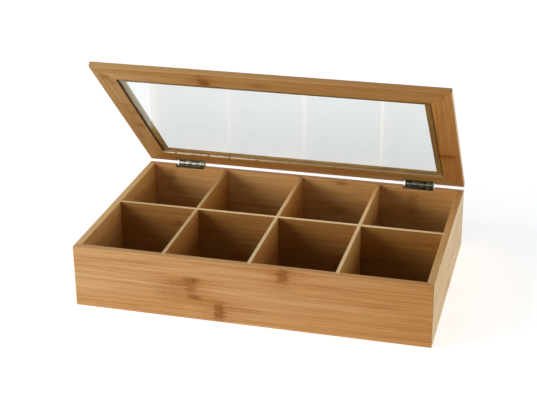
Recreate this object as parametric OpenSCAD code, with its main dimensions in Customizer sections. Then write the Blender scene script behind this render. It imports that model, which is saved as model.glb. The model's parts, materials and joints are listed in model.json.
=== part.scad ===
// Bamboo box with eight compartments and a glazed lid on two butt hinges.
// It stands on the XY plane, and its origin is the centre of its underside.
// +X is to the right, +Y to the back and +Z up. Lengths are in millimetres.

/* [Box] */
// Width of the box, from side to side
box_w = 340; // [240:1:480]
// Depth of the box, from front to back
box_d = 218; // [140:1:320]
// Height of the box walls
box_h = 62; // [40:1:120]
// Thickness of the wall boards
wall_t = 7; // [6:0.5:12]
// Thickness of the bottom panel
bottom_t = 4; // [3:0.5:8]
// How far the bottom panel reaches under the walls
bottom_rebate = 3.5; // [2:0.5:4.5]
// Gap between the edge of the bottom panel and the walls
bottom_clear = 0.15; // [0.05:0.05:0.4]
// Radius of the rounded outer arrises of the box and the lid
arris_r = 0.8; // [0.4:0.1:1.5]
// Width of the chamfer on the inner arrises of the walls and the lid frame
chamfer = 0.5; // [0.2:0.1:0.8]

/* [Dividers] */
// Thickness of the divider boards
divider_t = 3.4; // [2.6:0.1:6]
// Radius of the dividers' rounded top arrises
divider_arris_r = 0.4; // [0.2:0.1:1]
// Depth of the grooves that hold the dividers in the walls
groove_depth = 2.5; // [1.5:0.5:4]
// Clearance beside a divider, in its groove and in its halving joints
divider_clear = 0.1; // [0.05:0.05:0.3]

/* [Lid] */
// Thickness of the lid frame
lid_t = 5.5; // [5:0.5:10]
// Width of the front rail on the lid's underside
front_rail_w = 24.5; // [18:0.5:40]
// Width of the back rail on the lid's underside
back_rail_w = 20.5; // [18:0.5:40]
// Width of the two stiles on the lid's underside
stile_w = 20; // [16:0.5:40]
// Width of the lip that the glass lies on
lip_w = 6.5; // [4:0.5:10]
// Gap between the closed lid and the box walls
lid_gap = 0.2; // [0.1:0.1:0.8]
// Angle at which the lid stands open
lid_angle = 45; // [0:1:180]

/* [Glass] */
// Thickness of the glass
glass_t = 2; // [1.5:0.1:2.8]
// Depth of the glass below the lid's underside
glass_recess = 1.2; // [0.8:0.1:1.6]
// Gap between the edge of the glass and the lid frame
glass_clear = 0.5; // [0.2:0.1:0.8]
// Width of the sealant bead on the glass
bead_w = 1.5; // [1:0.1:2.5]
// Depth of the sealant bead below the lid's underside
bead_recess = 0.2; // [0.1:0.1:0.5]

/* [Hinges] */
// Length of each hinge
hinge_len = 30; // [22:1:44]
// Thickness of the hinge leaves
leaf_t = 1; // [0.7:0.1:1.2]
// Distance from a leaf's front edge to the inner face of the back wall
leaf_setback = 0.3; // [0:0.1:0.8]
// Diameter of the hinge pins
pin_d = 2; // [1.6:0.1:2.6]
// Radial running clearance of the hinge pins
pin_clear = 0.05; // [0.02:0.01:0.1]
// Number of knuckles on each hinge
knuckle_count = 4; // [3:1:6]
// Gap between neighbouring knuckles
knuckle_gap = 0.2; // [0.1:0.05:0.4]
// Gap between a knuckle and the edge of the other leaf
leaf_cutback = 0.35; // [0.3:0.05:0.6]
// Gap between the hinge barrel and the back face of the box
barrel_gap = 0.6; // [0.4:0.1:1.5]
// Room round a leaf in its recess
recess_clear = 0.8; // [0.3:0.1:1.5]

/* [Screws] */
// Diameter of the screws
screw_d = 2; // [1.4:0.1:2.4]
// Diameter of the countersunk screw heads
screw_head_d = 3.8; // [3.2:0.1:4.4]
// Length of the screws in the back wall
wall_screw_len = 10; // [6:1:16]
// Thickness of the wood left over the tips of the lid screws
screw_tip_cover = 1; // [0.5:0.1:1.5]
// Distance from the end of a hinge to its nearer screw
screw_inset = 6; // [4:0.5:7.5]
// Clearance round the screws
screw_clear = 0.05; // [0.02:0.01:0.1]
// Depth of the cross recess in the screw heads
cross_depth = 0.7; // [0.3:0.1:1]

/* [Hidden] */
$fn = 48;

BOX_WOOD = "#c8965e";
DIVIDER_WOOD = "#b9854f";
LID_WOOD = "#ad7a45";
GLASS = [0.86, 0.9, 0.9, 0.35];
SEALANT = [0.9, 0.88, 0.82, 0.7];
STEEL = "#8f9488";

// Room inside the walls, and the four by two compartments
inner_w = box_w - 2 * wall_t;
inner_d = box_d - 2 * wall_t;
cross_x = (inner_w + divider_t) / 4;
end_cell_x = cross_x * 1.5;
divider_h = box_h - bottom_t;
lap_z = bottom_t + divider_h / 2;
groove_w = divider_t + 2 * divider_clear;

// Opening of the lid, in the closed lid
lid_z = box_h + lid_gap;
seat_w = box_w - 2 * stile_w;
seat_d = box_d - front_rail_w - back_rail_w;
seat_y = (front_rail_w - back_rail_w) / 2;
glass_z = lid_z + glass_recess;
bead_h = glass_recess - bead_recess;

// Hinge barrel: the leaf is rolled round the pin
barrel_r = pin_d / 2 + pin_clear + leaf_t;
hinge_y = box_d / 2 + barrel_gap + barrel_r;
hinge_z = box_h + lid_gap / 2;
knuckle_pitch = hinge_len / knuckle_count;
plate_start = barrel_r + leaf_cutback;
plate_end = barrel_r + barrel_gap + wall_t - leaf_setback;
screw_y = barrel_r + barrel_gap + wall_t / 2;
head_h = (screw_head_d - screw_d) / 2;
lid_screw_len = leaf_t + lid_t - (barrel_r - lid_gap / 2) - screw_tip_cover;
cross_w = screw_d / 4;

// Overshoot of cutting shapes past the face they cut
cut = 1;

// ---- Shared shapes ----

// Rectangle centred on the origin, with its corners rounded by r
module rounded_rectangle(w, h, r) {
    square([w - 2 * r, h], center = true);
    square([w, h - 2 * r], center = true);
    for (x = [r - w / 2, w / 2 - r], y = [r - h / 2, h / 2 - r])
        translate([x, y]) circle(r);
}

// Block on the XY plane, centred on Z, with all its outer arrises rounded by r
module eased_block(w, d, h, r) {
    intersection() {
        linear_extrude(h) rounded_rectangle(w, d, r);
        translate([0, 0, h / 2]) rotate([90, 0, 0])
            linear_extrude(d, center = true) rounded_rectangle(w, h, r);
        translate([0, 0, h / 2]) rotate([90, 0, 90])
            linear_extrude(w, center = true) rounded_rectangle(d, h, r);
    }
}

// Rectangular opening, w by d at z = 0, that widens by grow on each side up to z = h and goes on past it
module flared_opening(w, d, grow, h) {
    intersection() {
        rotate([90, 0, 0]) linear_extrude(d + 4 * grow, center = true) flare_section(w, grow, h);
        rotate([90, 0, 90]) linear_extrude(w + 4 * grow, center = true) flare_section(d, grow, h);
    }
}

module flare_section(w, grow, h) {
    polygon([[-w / 2, 0], [w / 2, 0], [w / 2 + 2 * grow, 2 * h], [-w / 2 - 2 * grow, 2 * h]]);
}

// Plan of one member of a mitred frame: the mitres run from the outer to the inner corners
function member_plan(side, w, d, side_w, front_w, back_w) =
    let (x = w / 2, y = d / 2)
    let (inner_x = x - side_w, inner_front = front_w - y, inner_back = y - back_w)
    side == "front" ? [[-x, -y], [x, -y], [inner_x, inner_front], [-inner_x, inner_front]] :
    side == "back" ? [[x, y], [-x, y], [-inner_x, inner_back], [inner_x, inner_back]] :
    side == "left" ? [[-x, y], [-x, -y], [-inner_x, inner_front], [-inner_x, inner_back]] :
    [[x, -y], [x, y], [inner_x, inner_back], [inner_x, inner_front]];

// Puts what is drawn in the closed lid's place into the open lid
module open_lid() {
    translate([0, hinge_y, hinge_z]) rotate([-lid_angle, 0, 0])
        translate([0, -hinge_y, -hinge_z]) children();
}

// ---- Box ----

// One wall of the box: mitred, rebated for the bottom and grooved for the dividers
module wall(side) {
    difference() {
        intersection() {
            eased_block(box_w, box_d, box_h, arris_r);
            translate([0, 0, -cut]) linear_extrude(box_h + 2 * cut)
                polygon(member_plan(side, box_w, box_d, wall_t, wall_t, wall_t));
        }
        bottom_rebate_cut();
        divider_grooves();
        translate([0, 0, box_h - chamfer]) flared_opening(inner_w, inner_d, chamfer, chamfer);
    }
}

module bottom_rebate_cut() {
    translate([-inner_w / 2 - bottom_rebate, -inner_d / 2 - bottom_rebate, -cut])
        cube([inner_w + 2 * bottom_rebate, inner_d + 2 * bottom_rebate, bottom_t + cut]);
}

module divider_grooves() {
    reach_w = inner_w + 2 * groove_depth;
    reach_d = inner_d + 2 * groove_depth;
    translate([-reach_w / 2, -groove_w / 2, bottom_t]) cube([reach_w, groove_w, box_h]);
    for (i = [-1:1])
        translate([i * cross_x - groove_w / 2, -reach_d / 2, bottom_t])
            cube([groove_w, reach_d, box_h]);
}

module front_wall() {
    color(BOX_WOOD) wall("front");
}

module left_wall() {
    color(BOX_WOOD) wall("left");
}

module right_wall() {
    color(BOX_WOOD) wall("right");
}

// The back wall also has a recess and pilot holes for each hinge
module back_wall() {
    color(BOX_WOOD) difference() {
        wall("back");
        for (x = [-end_cell_x, end_cell_x]) {
            translate([x - hinge_len / 2 - recess_clear, inner_d / 2 - cut, hinge_z - barrel_r])
                cube([hinge_len + 2 * recess_clear, wall_t + 2 * cut, barrel_r + cut]);
            translate([x, hinge_y, hinge_z]) leaf_screws(wall_screw_len, screw_clear);
        }
    }
}

module bottom_panel() {
    w = inner_w + 2 * (bottom_rebate - bottom_clear);
    d = inner_d + 2 * (bottom_rebate - bottom_clear);
    color(DIVIDER_WOOD) translate([-w / 2, -d / 2, 0]) cube([w, d, bottom_t]);
}

// ---- Dividers ----

// Upright board along X, which stands on the bottom panel
module divider_board(inner_length) {
    translate([0, 0, bottom_t + divider_h / 2]) rotate([90, 0, 90])
        linear_extrude(inner_length + 2 * (groove_depth - divider_clear), center = true) {
            rounded_rectangle(divider_t, divider_h, divider_arris_r);
            translate([-divider_t / 2, -divider_h / 2]) square([divider_t, divider_h / 2]);
        }
}

// The long divider is notched from below, over the cross dividers
module long_divider() {
    color(DIVIDER_WOOD) difference() {
        divider_board(inner_w);
        for (i = [-1:1])
            translate([i * cross_x - groove_w / 2, -groove_w / 2, 0]) cube([groove_w, groove_w, lap_z]);
    }
}

// A cross divider is notched from above, under the long divider
module cross_divider(i) {
    color(DIVIDER_WOOD) translate([i * cross_x, 0, 0]) difference() {
        rotate([0, 0, 90]) divider_board(inner_d);
        translate([-groove_w / 2, -groove_w / 2, lap_z - divider_clear])
            cube([groove_w, groove_w, box_h]);
    }
}

// ---- Lid ----

// One member of the lid frame: mitred and rebated from below for the glass
module lid_member(side) {
    difference() {
        intersection() {
            translate([0, 0, lid_z]) eased_block(box_w, box_d, lid_t, arris_r);
            translate([0, 0, lid_z - cut]) linear_extrude(lid_t + 2 * cut) polygon(member_plan(
                side, box_w, box_d, stile_w + lip_w, front_rail_w + lip_w, back_rail_w + lip_w));
        }
        lid_opening();
    }
}

// The glass seat below and the clear opening above, with their arrises chamfered
module lid_opening() {
    clear_w = seat_w - 2 * lip_w;
    clear_d = seat_d - 2 * lip_w;
    translate([0, seat_y, 0]) {
        translate([-seat_w / 2, -seat_d / 2, lid_z - cut])
            cube([seat_w, seat_d, glass_recess + glass_t + cut]);
        translate([-clear_w / 2, -clear_d / 2, lid_z]) cube([clear_w, clear_d, lid_t + cut]);
        translate([0, 0, lid_z + lid_t - chamfer]) flared_opening(clear_w, clear_d, chamfer, chamfer);
        translate([0, 0, lid_z + chamfer]) mirror([0, 0, 1])
            flared_opening(seat_w, seat_d, chamfer, chamfer);
    }
}

module lid_front_rail() {
    color(LID_WOOD) open_lid() lid_member("front");
}

module lid_left_stile() {
    color(LID_WOOD) open_lid() lid_member("left");
}

module lid_right_stile() {
    color(LID_WOOD) open_lid() lid_member("right");
}

// The back rail also has a recess and pilot holes for each hinge
module lid_back_rail() {
    recess_d = wall_t - leaf_setback + recess_clear;
    color(LID_WOOD) open_lid() difference() {
        lid_member("back");
        for (x = [-end_cell_x, end_cell_x]) {
            translate([x - hinge_len / 2 - recess_clear, box_d / 2 - recess_d, lid_z - cut])
                cube([hinge_len + 2 * recess_clear, recess_d + cut, hinge_z + barrel_r - lid_z + cut]);
            translate([x, hinge_y, hinge_z]) mirror([0, 0, 1]) leaf_screws(lid_screw_len, screw_clear);
        }
    }
}

module lid_glass() {
    w = seat_w - 2 * glass_clear;
    d = seat_d - 2 * glass_clear;
    color(GLASS) open_lid() translate([-w / 2, seat_y - d / 2, glass_z]) cube([w, d, glass_t]);
}

// Bead of triangular section in the corner between the glass and the frame
module glass_sealant() {
    color(SEALANT) open_lid() translate([0, seat_y, glass_z]) difference() {
        translate([-seat_w / 2, -seat_d / 2, -bead_h]) cube([seat_w, seat_d, bead_h]);
        mirror([0, 0, 1]) flared_opening(seat_w - 2 * bead_w, seat_d - 2 * bead_w, bead_w, bead_h);
    }
}

// ---- Hinges, with the pin's axis along X through the origin ----

// Leaf below the pin, with every second knuckle from number first on
module hinge_leaf(first) {
    knuckle_len = knuckle_pitch - knuckle_gap;
    difference() {
        union() {
            translate([-hinge_len / 2, -plate_end, -barrel_r])
                cube([hinge_len, plate_end - plate_start, leaf_t]);
            for (k = [first:2:knuckle_count - 1])
                translate([k * knuckle_pitch - hinge_len / 2 + knuckle_gap / 2, 0, 0]) {
                    rotate([0, 90, 0]) cylinder(r = barrel_r, h = knuckle_len);
                    translate([0, -plate_start, -barrel_r]) cube([knuckle_len, plate_start, leaf_t]);
                }
        }
        rotate([0, 90, 0]) cylinder(r = pin_d / 2 + pin_clear, h = hinge_len + 2 * cut, center = true);
        leaf_screws(wall_screw_len, screw_clear);
    }
}

// The two screws of the leaf below the pin, enlarged by grow where they are to cut
module leaf_screws(length, grow) {
    for (x = [screw_inset - hinge_len / 2, hinge_len / 2 - screw_inset])
        translate([x, -screw_y, leaf_t - barrel_r]) screw(length, grow);
}

// Countersunk screw, with its head at z = 0 and its point downwards
module screw(length, grow) {
    shank_r = screw_d / 2 + grow;
    rotate_extrude() polygon([
        [0, grow], [screw_head_d / 2 + grow, grow], [screw_head_d / 2 + grow, 0],
        [shank_r, -head_h], [shank_r, shank_r - length], [0, -length - grow]
    ]);
}

module cross_recess() {
    for (turn = [0, 90])
        rotate([0, 0, turn]) translate([-screw_d / 2, -cross_w / 2, -cross_depth])
            cube([screw_d, cross_w, cross_depth + cut]);
}

// Screws as they are, with a cross recess in each head
module fitted_screws(length) {
    difference() {
        leaf_screws(length, 0);
        for (x = [screw_inset - hinge_len / 2, hinge_len / 2 - screw_inset])
            translate([x, -screw_y, leaf_t - barrel_r]) cross_recess();
    }
}

module hinge_pin(x) {
    color(STEEL) translate([x, hinge_y, hinge_z]) rotate([0, 90, 0])
        cylinder(d = pin_d, h = hinge_len, center = true);
}

// The wall leaf holds the second knuckle from the left and every other one after it
module wall_leaf(x) {
    color(STEEL) translate([x, hinge_y, hinge_z]) hinge_leaf(1);
}

// The lid leaf holds the first knuckle from the left and every other one after it
module lid_leaf(x) {
    color(STEEL) open_lid() translate([x, hinge_y, hinge_z]) mirror([0, 0, 1]) hinge_leaf(0);
}

module wall_screws(x) {
    color(STEEL) translate([x, hinge_y, hinge_z]) fitted_screws(wall_screw_len);
}

module lid_screws(x) {
    color(STEEL) open_lid() translate([x, hinge_y, hinge_z]) mirror([0, 0, 1])
        fitted_screws(lid_screw_len);
}

front_wall();
back_wall();
left_wall();
right_wall();
bottom_panel();
long_divider();
cross_divider(-1);  // left_cross_divider
cross_divider(0);  // middle_cross_divider
cross_divider(1);  // right_cross_divider
lid_front_rail();
lid_back_rail();
lid_left_stile();
lid_right_stile();
lid_glass();
glass_sealant();
wall_leaf(-end_cell_x);  // left_hinge_wall_leaf
lid_leaf(-end_cell_x);  // left_hinge_lid_leaf
hinge_pin(-end_cell_x);  // left_hinge_pin
wall_screws(-end_cell_x);  // left_hinge_wall_screws
lid_screws(-end_cell_x);  // left_hinge_lid_screws
wall_leaf(end_cell_x);  // right_hinge_wall_leaf
lid_leaf(end_cell_x);  // right_hinge_lid_leaf
hinge_pin(end_cell_x);  // right_hinge_pin
wall_screws(end_cell_x);  // right_hinge_wall_screws
lid_screws(end_cell_x);  // right_hinge_lid_screws
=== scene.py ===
"""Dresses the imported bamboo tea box: bamboo boards, glass pane, sealant bead, hinges, stage and lamps.

Lengths are in metres unless they say otherwise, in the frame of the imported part: +X right, +Y back,
+Z up.
"""

import json
import math
from typing import NamedTuple

import bmesh
import bpy
from bpy.props import FloatProperty, FloatVectorProperty, IntProperty, PointerProperty
from bpy.types import Operator, Panel, PropertyGroup
from mathutils import Matrix, Vector


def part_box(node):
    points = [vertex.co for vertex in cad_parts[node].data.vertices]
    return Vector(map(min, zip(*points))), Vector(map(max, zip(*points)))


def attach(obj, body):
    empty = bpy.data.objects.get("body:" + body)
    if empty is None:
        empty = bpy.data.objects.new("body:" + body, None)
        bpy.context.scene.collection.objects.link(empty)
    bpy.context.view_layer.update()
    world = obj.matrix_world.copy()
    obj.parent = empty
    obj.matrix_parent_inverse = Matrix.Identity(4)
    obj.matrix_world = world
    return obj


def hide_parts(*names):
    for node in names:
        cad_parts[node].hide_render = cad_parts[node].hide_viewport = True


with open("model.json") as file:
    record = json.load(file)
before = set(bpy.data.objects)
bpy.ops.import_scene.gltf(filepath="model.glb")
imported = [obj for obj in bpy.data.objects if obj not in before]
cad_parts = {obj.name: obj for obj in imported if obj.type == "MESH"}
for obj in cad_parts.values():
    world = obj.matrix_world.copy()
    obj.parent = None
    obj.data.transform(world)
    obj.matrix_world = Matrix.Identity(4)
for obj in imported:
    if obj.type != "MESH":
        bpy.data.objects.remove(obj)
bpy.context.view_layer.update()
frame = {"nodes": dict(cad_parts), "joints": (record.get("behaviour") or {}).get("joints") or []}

bl_info = {
    "name": "Bamboo tea box",
    "version": (1, 0, 0),
    "blender": (4, 5, 0),
    "location": "View3D > Sidebar > Tea box",
    "description": "Dresses a glazed bamboo tea box and sets its stage",
    "category": "Object",
}

MM = 0.001
X, Y, Z = range(3)
SHARP_ANGLE = math.radians(35)

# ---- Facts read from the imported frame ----

LID_JOINT = next(j for j in frame["joints"] if j["name"] == "lid_hinge")
PIN_AXIS = Vector(LID_JOINT["pos_m"])
LID_ANGLE = math.radians(-LID_JOINT["range_deg"][0])


def turn_about_pin(angle):
    """The turn about the hinge pins' axis that opens the lid by angle."""
    to_pin = Matrix.Translation(PIN_AXIS)
    return to_pin @ Matrix.Rotation(-angle, 4, "X") @ to_pin.inverted()


OPEN_LID = turn_about_pin(LID_ANGLE)
CLOSED_LID = OPEN_LID.inverted()


def closed_box(node):
    """Lowest and highest corner of a lid node, with the lid shut."""
    corners = [CLOSED_LID @ v.co for v in frame["nodes"][node].data.vertices]
    lowest = Vector([min(c[i] for c in corners) for i in range(3)])
    highest = Vector([max(c[i] for c in corners) for i in range(3)])
    return lowest, highest


BOX_LOW, BOX_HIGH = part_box("front_wall")[0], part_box("back_wall")[1]
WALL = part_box("front_wall")[1].y - BOX_LOW.y
LID_MEMBERS = (  # the widths of a stile, the front rail and the back rail
    BOX_HIGH.x - closed_box("lid_right_stile")[0].x,
    closed_box("lid_front_rail")[1].y - BOX_LOW.y,
    BOX_HIGH.y - closed_box("lid_back_rail")[0].y)
BEAD_LOW, BEAD_HIGH = closed_box("glass_sealant")


# ---- Settings that a user would change ----

COLOUR = {"subtype": "COLOR", "size": 3, "min": 0, "max": 1}


class TEABOX_PG_bamboo(PropertyGroup):
    """Colours and scale of the bamboo."""

    light: FloatVectorProperty(
        name="Light fibre", description="Colour of the palest fibres",
        default=(0.70, 0.425, 0.20), **COLOUR)
    ground: FloatVectorProperty(
        name="Ground", description="Colour of most of the wood",
        default=(0.60, 0.325, 0.125), **COLOUR)
    orange: FloatVectorProperty(
        name="Orange fibre", description="Colour of the warm streaks",
        default=(0.53, 0.25, 0.075), **COLOUR)
    dark: FloatVectorProperty(
        name="Dark fibre", description="Colour of the thin dark streaks",
        default=(0.42, 0.18, 0.05), **COLOUR)
    stain: FloatVectorProperty(
        name="Stain", description="Colour of the wood round a cane node",
        default=(0.46, 0.17, 0.03), **COLOUR)
    node: FloatVectorProperty(
        name="Node mark", description="Colour of the marks where the cane had a node",
        default=(0.25, 0.082, 0.004), **COLOUR)
    # Painted shade that darkens the wood under the pane.
    painted_shade_under_pane: FloatVectorProperty(
        name="Under the pane", description="Shade of the wood that lies under the pane",
        default=(0.66, 0.72, 0.72), **COLOUR)
    # Painted reflection: a pale colour on the wood under the pane, standing for the floor seen in it.
    pale_reflection: FloatVectorProperty(
        name="Smear", description="Colour of the sealant smeared on the wood under the pane",
        default=(0.70, 0.60, 0.40), **COLOUR)
    strip_width: FloatProperty(
        name="Strip width", description="Width of the strips that each board is glued from",
        unit="LENGTH", min=0.005, max=0.05, default=0.0207)
    roughness: FloatProperty(
        name="Roughness", description="Roughness of the satin finish", min=0.1, max=1, default=0.48)


class TEABOX_PG_glazing(PropertyGroup):
    """Looks of the pane and of the bead that holds it."""

    tint: FloatVectorProperty(
        name="Glass tint", description="Colour of light that has passed the pane",
        default=(0.918, 0.962, 0.962), **COLOUR)
    lamp_tint: FloatVectorProperty(
        name="Lamp tint", description="Colour of lamp light that has passed the pane",
        default=(0.85, 0.87, 0.865), **COLOUR)
    # Painted shade: the bead's dark colour stands for the shaded gap at the pane's edge.
    sealant_dark_shade: FloatVectorProperty(
        name="Dark sealant", description="Colour of the bead where it was wiped thin",
        default=(0.06, 0.028, 0.004), **COLOUR)
    sealant_brown: FloatVectorProperty(
        name="Brown sealant", description="Colour of the patches in the dark bead",
        default=(0.15, 0.08, 0.02), **COLOUR)
    sealant_amber: FloatVectorProperty(
        name="Amber sealant", description="Colour of the bead along the hinges",
        default=(0.46, 0.27, 0.09), **COLOUR)
    # Painted highlight: the bead's cream colour stands for light caught on it.
    sealant_cream_highlight: FloatVectorProperty(
        name="Cream sealant", description="Colour of the bead where it is thick",
        default=(0.86, 0.74, 0.52), **COLOUR)
    bead_radius: FloatProperty(
        name="Bead radius", description="Mean radius of the sealant bead, from the corner that it fills",
        unit="LENGTH", min=0.0005, max=0.002, default=0.0011)
    unevenness: FloatProperty(
        name="Unevenness", description="How much the bead swells and thins", subtype="FACTOR",
        min=0, max=1, default=0.75)
    seed: IntProperty(name="Bead seed", description="Seed of the bead's unevenness", default=4)


class TEABOX_PG_steel(PropertyGroup):
    """Looks of the hinges and screws."""

    plating: FloatVectorProperty(
        name="Plating", description="Colour of the plated steel",
        default=(0.66, 0.61, 0.47), **COLOUR)
    # Tarnish in the corners, and painted shade that keeps the hinge leaves dark in their recesses.
    tarnish_and_shade: FloatVectorProperty(
        name="Tarnish", description="Colour of the steel in its corners",
        default=(0.045, 0.04, 0.022), **COLOUR)
    roughness: FloatProperty(
        name="Roughness", description="Roughness of the plating", min=0.05, max=1, default=0.3)
    leaf_thickness: FloatProperty(
        name="Leaf thickness", description="Thickness of the hinge leaves", unit="LENGTH",
        min=0.0007, max=0.0012, default=0.001)
    rounding: FloatProperty(
        name="Rounding", description="Radius of the pressed steel's edges", unit="LENGTH",
        min=0.00005, max=0.0003, default=0.00015)
    knuckles: IntProperty(
        name="Knuckles", description="Number of knuckles on each hinge", min=3, max=6, default=4)
    knuckle_gap: FloatProperty(
        name="Knuckle gap", description="Gap between neighbouring knuckles", unit="LENGTH",
        min=0.0001, max=0.0004, default=0.0002)
    screw_head: FloatProperty(
        name="Screw head", description="Diameter of the countersunk screw heads", unit="LENGTH",
        min=0.0032, max=0.0044, default=0.0038)
    screw_shank: FloatProperty(
        name="Screw shank", description="Diameter of the screws", unit="LENGTH",
        min=0.0014, max=0.0024, default=0.002)


class TEABOX_PG_stage(PropertyGroup):
    """Camera, lamps and the even light from all sides."""

    azimuth: FloatProperty(
        name="Azimuth", description="Camera's turn to the right of the box's front",
        subtype="ANGLE", default=math.radians(15.129))
    elevation: FloatProperty(
        name="Elevation", description="Camera's height as an angle", subtype="ANGLE",
        default=math.radians(22.406))
    roll: FloatProperty(
        name="Roll", description="Camera's turn about its own view", subtype="ANGLE",
        default=math.radians(-0.651))
    key: FloatProperty(
        name="Key lamp", description="Power of the higher lamp on the left", unit="POWER", min=0,
        default=14)
    left: FloatProperty(
        name="Left lamp", description="Power of the low lamp on the left", unit="POWER", min=0,
        default=7.6)
    front: FloatProperty(
        name="Front lamp", description="Power of the low lamp in front", unit="POWER", min=0,
        default=12.2)
    right: FloatProperty(
        name="Right lamp", description="Power of the low lamp on the right", unit="POWER", min=0,
        default=16)
    back: FloatProperty(
        name="Back lamp", description="Power of the lamp behind the box", unit="POWER", min=0, default=6)
    ambient: FloatProperty(
        name="Ambient", description="Strength of the even light from all sides", min=0, max=2,
        default=0.1)


# ---- Shader and geometry trees ----


class Wire:
    """An output of a node; arithmetic on it adds Math nodes to its tree."""

    def __init__(self, tree, socket):
        self.tree = tree
        self.socket = socket

    def math(self, operation, *others):
        return self.tree.node("ShaderNodeMath", {"operation": operation}, [self, *others])

    def __add__(self, other):
        return self.math("ADD", other)

    __radd__ = __add__

    def __sub__(self, other):
        return self.math("SUBTRACT", other)

    def __rsub__(self, other):
        return self.tree.node("ShaderNodeMath", {"operation": "SUBTRACT"}, [other, self])

    def __mul__(self, other):
        return self.math("MULTIPLY", other)

    __rmul__ = __mul__

    def __truediv__(self, other):
        return self.math("DIVIDE", other)

    def __neg__(self):
        return self * -1

    def __abs__(self):
        return self.math("ABSOLUTE")

    def floor(self):
        return self.math("FLOOR")

    def least(self, other):
        return self.math("MINIMUM", other)

    def most(self, other):
        return self.math("MAXIMUM", other)

    def bell(self):
        """1 where the value is 0, falling to 0 on both sides."""
        return (self * self * -1).math("EXPONENT")

    def ramp(self, low, high):
        """0 up to low and 1 from high on, with a smooth rise between them."""
        return self.tree.node(
            "ShaderNodeMapRange", {"interpolation_type": "SMOOTHSTEP"},
            {"Value": self, "From Min": low, "From Max": high})

    def split(self):
        """The three parts of a vector."""
        return [self.tree.node("ShaderNodeSeparateXYZ", {}, [self], output=i) for i in range(3)]


class Tree:
    """A node tree that is filled by its node method."""

    def __init__(self, node_tree):
        self.nodes = node_tree.nodes
        self.links = node_tree.links

    def node(self, kind, settings=(), sockets=(), output=0):
        """Adds a node, with its settings first, and returns one of its outputs."""
        made = self.nodes.new(kind)
        for name, value in dict(settings).items():
            if name == "stops":
                set_stops(made.color_ramp, value)
            else:
                setattr(made, name, value)
        named = sockets.items() if isinstance(sockets, dict) else enumerate(sockets)
        for key, value in named:
            target = find_socket(made.inputs, key)
            if isinstance(value, Wire):
                self.links.new(value.socket, target)
            else:
                target.default_value = value
        return Wire(self, find_socket(made.outputs, output)) if len(made.outputs) else None

    def vector(self, x, y, z):
        return self.node("ShaderNodeCombineXYZ", {}, [x, y, z])

    def noise(self, at, scale=1.0, detail=2.0, rough=0.5):
        return self.node(
            "ShaderNodeTexNoise", {"noise_dimensions": "3D"},
            {"Vector": at, "Scale": scale, "Detail": detail, "Roughness": rough})

    def mix(self, factor, first, second, blend="MIX"):
        return self.node(
            "ShaderNodeMix", {"data_type": "RGBA", "blend_type": blend},
            {"Factor_Float": factor, "A_Color": first, "B_Color": second}, output="Result_Color")

    def multiply(self, first, second):
        return self.mix(1.0, first, second, blend="MULTIPLY")

    def bump(self, strength, depth, height):
        return self.node("ShaderNodeBump", {}, {
            "Strength": strength, "Distance": depth, "Height": height})


def find_socket(sockets, key):
    """A socket by its place, its identifier or its name."""
    if isinstance(key, int):
        return sockets[key]
    for socket in sockets:
        if socket.identifier == key:
            return socket
    return sockets[key]


def set_stops(ramp, stops):
    """Gives a colour ramp its stops, each a place and a colour."""
    while len(ramp.elements) < len(stops):
        ramp.elements.new(0.5)
    for element, (place, colour) in zip(ramp.elements, stops):
        element.position = place
        element.color = (*colour, 1)


def new_material(name):
    """A material with an empty tree, and that tree."""
    material = bpy.data.materials.new(name)
    material.use_nodes = True
    material.node_tree.nodes.clear()
    return material, Tree(material.node_tree)


def surface(tree, shader):
    """Links a shader to its material's output."""
    tree.node("ShaderNodeOutputMaterial", {}, {"Surface": shader})


def colour(rgb):
    """A colour with full alpha."""
    return (*rgb, 1)


def new_geometry(name, inputs):
    """A geometry tree with its named inputs: the group, the tree and the wire of each input."""
    group = bpy.data.node_groups.new(name, "GeometryNodeTree")
    for label, kind in inputs.items():
        group.interface.new_socket(label, in_out="INPUT", socket_type="NodeSocket" + kind)
    group.interface.new_socket("Geometry", in_out="OUTPUT", socket_type="NodeSocketGeometry")
    source = group.nodes.new("NodeGroupInput")
    tree = Tree(group)
    return group, tree, {label: Wire(tree, source.outputs[label]) for label in inputs}


def end_geometry(tree, geometry, material):
    """Makes the instances real, gives them their material and ends the tree."""
    real = tree.node("GeometryNodeRealizeInstances", {}, [geometry])
    finished = tree.node("GeometryNodeSetMaterial", {}, {"Geometry": real, "Material": material})
    tree.node("NodeGroupOutput", {}, [finished])


# ---- Meshes and pieces ----


def link(made):
    """Puts an object in the scene."""
    bpy.context.scene.collection.objects.link(made)


def plain_mesh(start, prepare):
    """The mesh that comes out of a start mesh once prepare has given its object a modifier."""
    host = bpy.data.objects.new("host", start)
    link(host)
    prepare(host)
    evaluated = host.evaluated_get(bpy.context.evaluated_depsgraph_get())
    mesh = bpy.data.meshes.new_from_object(evaluated)
    host.modifiers.clear()
    bpy.data.objects.remove(host)
    return mesh


def grown(start, group, inputs):
    """The mesh that a geometry tree makes from a start mesh."""
    def prepare(host):
        modifier = host.modifiers.new(group.name, "NODES")
        modifier.node_group = group
        for socket in group.interface.items_tree:
            if socket.in_out == "INPUT" and socket.name in inputs:
                modifier[socket.identifier] = inputs[socket.name]
    return plain_mesh(start, prepare)


def combined(start, other, operation):
    """The union or difference of two closed meshes."""
    tool = bpy.data.objects.new("tool", other)
    link(tool)

    def prepare(host):
        modifier = host.modifiers.new("combine", "BOOLEAN")
        modifier.operation = operation
        modifier.solver = "EXACT"
        modifier.object = tool
    mesh = plain_mesh(start, prepare)
    bpy.data.objects.remove(tool)
    return mesh


def mesh_of(shape, name):
    """A mesh from a bmesh, with its faces outwards."""
    bmesh.ops.recalc_face_normals(shape, faces=shape.faces)
    mesh = bpy.data.meshes.new(name)
    shape.to_mesh(mesh)
    shape.free()
    return mesh


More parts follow.
